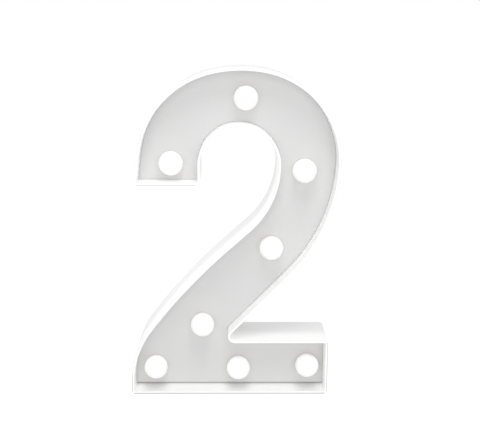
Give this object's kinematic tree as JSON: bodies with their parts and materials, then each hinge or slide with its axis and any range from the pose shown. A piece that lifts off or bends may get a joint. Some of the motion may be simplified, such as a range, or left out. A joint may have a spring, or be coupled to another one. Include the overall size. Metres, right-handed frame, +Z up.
{
  "type": "light-up marquee number",
  "caption": "Free-standing white plastic figure two with a sunken front, frosted globe lamps inside its rim, a battery compartment with a tilting door and a slide switch behind.",
  "frame": {"origin": "middle of the bounding box in X and Y, on the surface that the base bar stands on", "axes": "+Z up, the lamps and the readable face look along -Y, +X to the right as the figure is read"},
  "size_m": [0.138, 0.038, 0.22],
  "materials": {
    "wall_white": "smooth white moulded plastic",
    "panel_white": "smooth white moulded plastic",
    "cover_white": "fine matt white moulded plastic",
    "box_white": "white moulded plastic",
    "globe_frosted": "frosted white, translucent",
    "plug_plastic": "natural plastic",
    "led_epoxy": "clear to warm white lamp",
    "cell_wrap": "plain wrapped cell, no print",
    "contact_metal": "nickel plated",
    "switch_metal": "plated sheet",
    "switch_board": "brown laminate",
    "switch_knob": "black plastic",
    "screw_metal": "zinc plated",
    "wire_red": "soft insulation",
    "wire_black": "soft insulation",
    "resistor_body": "coated film resistor"
  },
  "bodies": {
    "lamp": {"side_wall": "wall_white", "front_panel": "panel_white", "bulb_cap_1": "globe_frosted", "bulb_cap_2": "globe_frosted", "bulb_cap_3": "globe_frosted", "bulb_cap_4": "globe_frosted", "bulb_cap_5": "globe_frosted", "bulb_cap_6": "globe_frosted", "bulb_cap_7": "globe_frosted", "bulb_cap_8": "globe_frosted", "back_cover": "cover_white", "battery_box": "box_white", "cell_1": "cell_wrap", "cell_2": "cell_wrap", "lamp_plug_1": "plug_plastic", "lamp_plug_2": "plug_plastic", "lamp_plug_3": "plug_plastic", "lamp_plug_4": "plug_plastic", "lamp_plug_5": "plug_plastic", "lamp_plug_6": "plug_plastic", "lamp_plug_7": "plug_plastic", "lamp_plug_8": "plug_plastic", "led_1": "led_epoxy", "led_2": "led_epoxy", "led_3": "led_epoxy", "led_4": "led_epoxy", "led_5": "led_epoxy", "led_6": "led_epoxy", "led_7": "led_epoxy", "led_8": "led_epoxy", "wire_red": "wire_red", "wire_black": "wire_black", "wire_battery_to_switch": "wire_red", "wire_switch_to_resistor": "wire_red", "series_resistor": "resistor_body", "contact_negative": "contact_metal", "contact_positive": "contact_metal", "contact_bridge": "contact_metal", "switch_frame": "switch_metal", "switch_base": "switch_board", "switch_terminals": "contact_metal", "cover_screws": "screw_metal", "box_screws": "screw_metal"},
    "slider": {"switch_slider": "switch_knob"},
    "door": {"battery_door": "cover_white"}
  },
  "joints": [
    {"name": "switch_slide", "type": "slide", "parent": "lamp", "child": "slider", "axis": [1, 0, 0], "range_m": [0, 0.003]},
    {"name": "battery_door_hinge", "type": "hinge", "parent": "lamp", "child": "door", "pos_m": [-0.01967, 0.019, 0.05522], "axis": [-0.7193, 0, 0.6947], "range_deg": [0, 75]}
  ]
}
